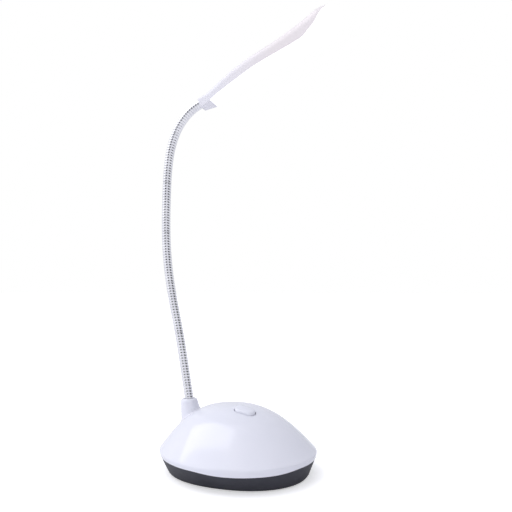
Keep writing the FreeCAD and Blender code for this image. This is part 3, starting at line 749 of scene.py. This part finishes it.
def build_neck():
    """The coil and the lead, in stretches split at the fore-and-aft joints."""
    last = STRETCHES - 1
    for m in range(STRETCHES):
        t0 = ROOT_TURN if m == 0 else SPAN * (m - 1) + EDGE
        t1 = TIP_TURN if m == last else SPAN * m - EDGE
        s0 = WIRE_ROOT if m == 0 else SECTION * (2 * m - 1.5)
        s1 = NECK_LENGTH + WIRE_TIP if m == last else SECTION * (2 * m + 0.5)
        hoses = ["hose_%02d" % k for k in (2 * m - 1, 2 * m) if k >= 0]
        finish_stretch(coil("coil_%02d" % m, t0, t1, m > 0, m < last), m, CHROME, "chrome", *hoses)
        finish_stretch(strand("wire_%02d" % m, s0, s1, m < last), m, SHEATH, "wire_sheath", "neck_wire")


# ------------------------------------------------------------------------- head

def head_point(u, y, v):
    x, z, _ = FRAMES[-1]
    c, s = math.cos(math.radians(HEAD_TILT)), math.sin(math.radians(HEAD_TILT))
    return (x + c * u - s * v, y, z + s * u + c * v)


def tip_size(u, size, power, root):
    """How much of a size is left at u in the rounded tip."""
    f = min(max((u - TIP_START) / (HEAD_END - TIP_START), 0.0), 1.0)
    return size * (1.0 - f ** power) ** root


def section(u):
    """Half a section, from the middle of the underside to that of the top, and the length to each point."""
    w, low, top = interp(STATIONS, u)
    if u > TIP_START:
        w = min(w, tip_size(u, *TIP_HALF))
        low = max(low, TIP_LEVEL - tip_size(u, *TIP_BELOW))
        top = min(top, TIP_LEVEL + tip_size(u, *TIP_ABOVE))
    depth = max(top - low, 0.02)
    r = min(0.62 * w, 0.6 * depth)       # upper edge's rounding
    q = min(0.7, 0.3 * w, 0.3 * depth)   # lower edge's rounding
    path = [(0.0, low), (w - q, low)]
    path += [(w - q + q * math.sin(a), low + q - q * math.cos(a)) for a in np.linspace(0, math.pi / 2, 8)[1:]]
    path += [(w - r + r * math.cos(a), top - r + r * math.sin(a)) for a in np.linspace(0, math.pi / 2, 24)]
    path = np.array(path + [(0.0, top)])
    steps = np.linalg.norm(np.diff(path, axis=0), axis=1)
    return path, np.concatenate([[0], np.cumsum(steps)])


def part_length(path, run, v):
    """Length along the half section at which it crosses the parting height."""
    if v >= path[-1, 1]:
        return run[-1]
    for k in range(1, len(path)):
        if path[k, 1] > v:
            a, b = path[k - 1], path[k]
            f = (v - a[1]) / max(b[1] - a[1], 1e-9)
            return run[k - 1] + max(f, 0) * (run[k] - run[k - 1])
    return run[-1]


def head_stretch(us, which, count=40):
    """Points and faces of one skin: 'lens' below the parting line, 'shell' above it, or 'all'."""
    points = []
    for u in us:
        path, run = section(u)
        cut = part_length(path, run, interp(PART_LINE, max(u, COLLAR_END))[0])
        t0, t1 = {"lens": (0.0, cut), "shell": (cut, run[-1]), "all": (0.0, run[-1])}[which]
        t = np.linspace(t0, t1, count)
        right = [(u, y, v) for y, v in zip(np.interp(t, run, path[:, 0]), np.interp(t, run, path[:, 1]))]
        left = [(u, -y, v) for u, y, v in reversed(right)]
        row = {"lens": left[:-1] + right, "shell": right + left[1:], "all": right + left[1:-1]}[which]
        points += [head_point(*p) for p in row]
    cols = len(points) // len(us)
    return points, grid_faces(len(us), cols, which == "all")


def head_stations(start):
    body = np.arange(start, TIP_START, 1.5)
    tip = TIP_START + (HEAD_END - TIP_START) * np.sin(np.linspace(0, math.pi / 2, 48))
    return np.concatenate([body, tip])


def build_head():
    near, faces = head_stretch(np.linspace(STATIONS[0][0], COLLAR_END, COLLAR_ROWS), "all")
    far, far_faces = head_stretch(head_stations(COLLAR_END), "shell")
    faces += [tuple(i + len(near) for i in f) for f in far_faces]
    faces.append(tuple(reversed(range(len(near) // COLLAR_ROWS))))
    shell = mesh_object("head_skin", near + far, faces)
    lens = mesh_object("lens_skin", *head_stretch(head_stations(PANEL_START), "lens"))
    finish_piece(shell, HEAD_WHITE, "head", "white_gloss", "head_shell")
    finish_piece(lens, DIFFUSER, "head", "diffuser", "head_diffuser")


# ------------------------------------------------------------------- surroundings

def set_camera():
    cam = bpy.data.cameras.new("camera")
    cam.lens = SENSOR * FOCAL_PIXELS / FRAME_PIXELS
    cam.sensor_width = SENSOR
    cam.clip_start = 0.01
    obj = add_object("camera", cam)
    right, forward = Vector(CAMERA_RIGHT).normalized(), Vector(CAMERA_FORWARD).normalized()
    up = right.cross(forward).normalized()
    turn = Matrix((right, up, -forward)).transposed().to_4x4()
    place = Vector((CAMERA_PLACE[0] - FX * 0.001, *CAMERA_PLACE[1:]))
    obj.matrix_world = Matrix.Translation(place) @ turn
    bpy.context.scene.camera = obj


def area_light(name, place, long_way, size, power):
    """A soft box that faces the lamp, its long side turned the given way; place and size are in metres."""
    data = bpy.data.lights.new(name, "AREA")
    data.shape = "RECTANGLE"
    data.size, data.size_y = size
    data.energy = power
    out = Vector(place).normalized()
    along = Vector(long_way)
    along = (along - along.dot(out) * out).normalized()
    turn = Matrix((along.cross(out), along, out)).transposed().to_4x4()
    add_object(name, data).matrix_world = Matrix.Translation(Vector(place)) @ turn


def sun_light(name, direction, strength, angle, glossy=True):
    data = bpy.data.lights.new(name, "SUN")
    data.energy = strength
    data.angle = math.radians(angle)
    obj = add_object(name, data)
    obj.rotation_euler = Vector(direction).to_track_quat("-Z", "Y").to_euler()
    obj.visible_glossy = glossy


def toward(tree, view, direction, limits, values, shape="SMOOTHSTEP"):
    """A value that changes as the view into the room turns towards a direction."""
    side = vector_op(tree, "DOT_PRODUCT", view, Vector(direction).normalized())
    return remap(tree, side, limits, values, shape)


def room_tone(tree, view):
    """A pale room, brighter to the left and overhead, with two narrow dark gaps between its walls."""
    tone = toward(tree, view, ROOM_BRIGHT_SIDE, (-0.9, 0.9), ROOM)
    level = vector_op(tree, "NORMALIZE", vector_op(tree, "MULTIPLY", view, (1, 1, 0)))
    height = math_op(tree, "ABSOLUTE", toward(tree, view, (0, 0, 1), (-1, 1), (-1, 1), "LINEAR"))
    for direction, wide, depth in ROOM_GAPS:
        limits = (math.cos(math.radians(wide * 1.4)), math.cos(math.radians(wide * 0.7)))
        gap = toward(tree, level, direction, limits, (0.0, 1 - depth))
        cut = math_op(tree, "MULTIPLY", gap, remap(tree, height, GAP_TOP, (1.0, 0.0), "SMOOTHSTEP"))
        tone = math_op(tree, "MULTIPLY", tone, math_op(tree, "SUBTRACT", 1.0, cut))
    return tone


def set_world():
    """The room lights the lamp, and the camera sees plain white in its place."""
    world = bpy.data.worlds.new("studio")
    bpy.context.scene.world = world
    world.use_nodes = True
    tree = world.node_tree
    tree.nodes.clear()
    out = tree.nodes.new("ShaderNodeOutputWorld")
    view = tree.nodes.new("ShaderNodeTexCoord").outputs["Generated"]
    back = tree.nodes.new("ShaderNodeBackground")
    back.inputs["Color"].default_value = ROOM_TINT
    tree.links.new(room_tone(tree, view), back.inputs["Strength"])
    seen = tree.nodes.new("ShaderNodeBackground")
    seen.inputs["Color"].default_value = (1, 1, 1, 1)
    path = tree.nodes.new("ShaderNodeLightPath")
    mix = tree.nodes.new("ShaderNodeMixShader")
    tree.links.new(path.outputs["Is Camera Ray"], mix.inputs["Fac"])
    tree.links.new(back.outputs["Background"], mix.inputs[1])
    tree.links.new(seen.outputs["Background"], mix.inputs[2])
    tree.links.new(mix.outputs["Shader"], out.inputs["Surface"])


def set_floor():
    """A pale matt floor; what the camera sees of it is lifted to white, with the shadow kept."""
    mesh = bpy.data.meshes.new("floor")
    s = FLOOR_SIZE
    mesh.from_pydata([(-s, -s, 0), (s, -s, 0), (s, s, 0), (-s, s, 0)], [], [(0, 1, 2, 3)])
    floor = add_object("floor", mesh)
    mat, shader, tree = material("floor", (0.9, 0.9, 0.92), 1.0, specular=0.0)
    seen = tree.nodes.new("ShaderNodeLightPath").outputs["Is Camera Ray"]
    lift = tree.nodes.new("ShaderNodeEmission")
    tree.links.new(math_op(tree, "MULTIPLY", seen, FLOOR_LIFT), lift.inputs["Strength"])
    both = tree.nodes.new("ShaderNodeAddShader")
    tree.links.new(shader.outputs["BSDF"], both.inputs[0])
    tree.links.new(lift.outputs["Emission"], both.inputs[1])
    tree.links.new(both.outputs["Shader"], tree.nodes["Material Output"].inputs["Surface"])
    mesh.materials.append(mat)


def main():
    set_camera()
    dress_cad()
    build_base()
    build_neck()
    build_head()
    set_floor()
    set_world()
    sun_light("sky", direction=(0.45, 0.35, -0.9), strength=0.15, angle=60)
    sun_light("front", direction=(0.05, 0.95, -0.28), strength=0.8, angle=60, glossy=False)
    area_light("window", place=(-0.75, -0.195, 1.29), long_way=(0.84, -0.28, 0.46), size=(0.75, 1.5),
               power=5.4)
    bpy.context.scene.view_settings.view_transform = "Standard"


main()
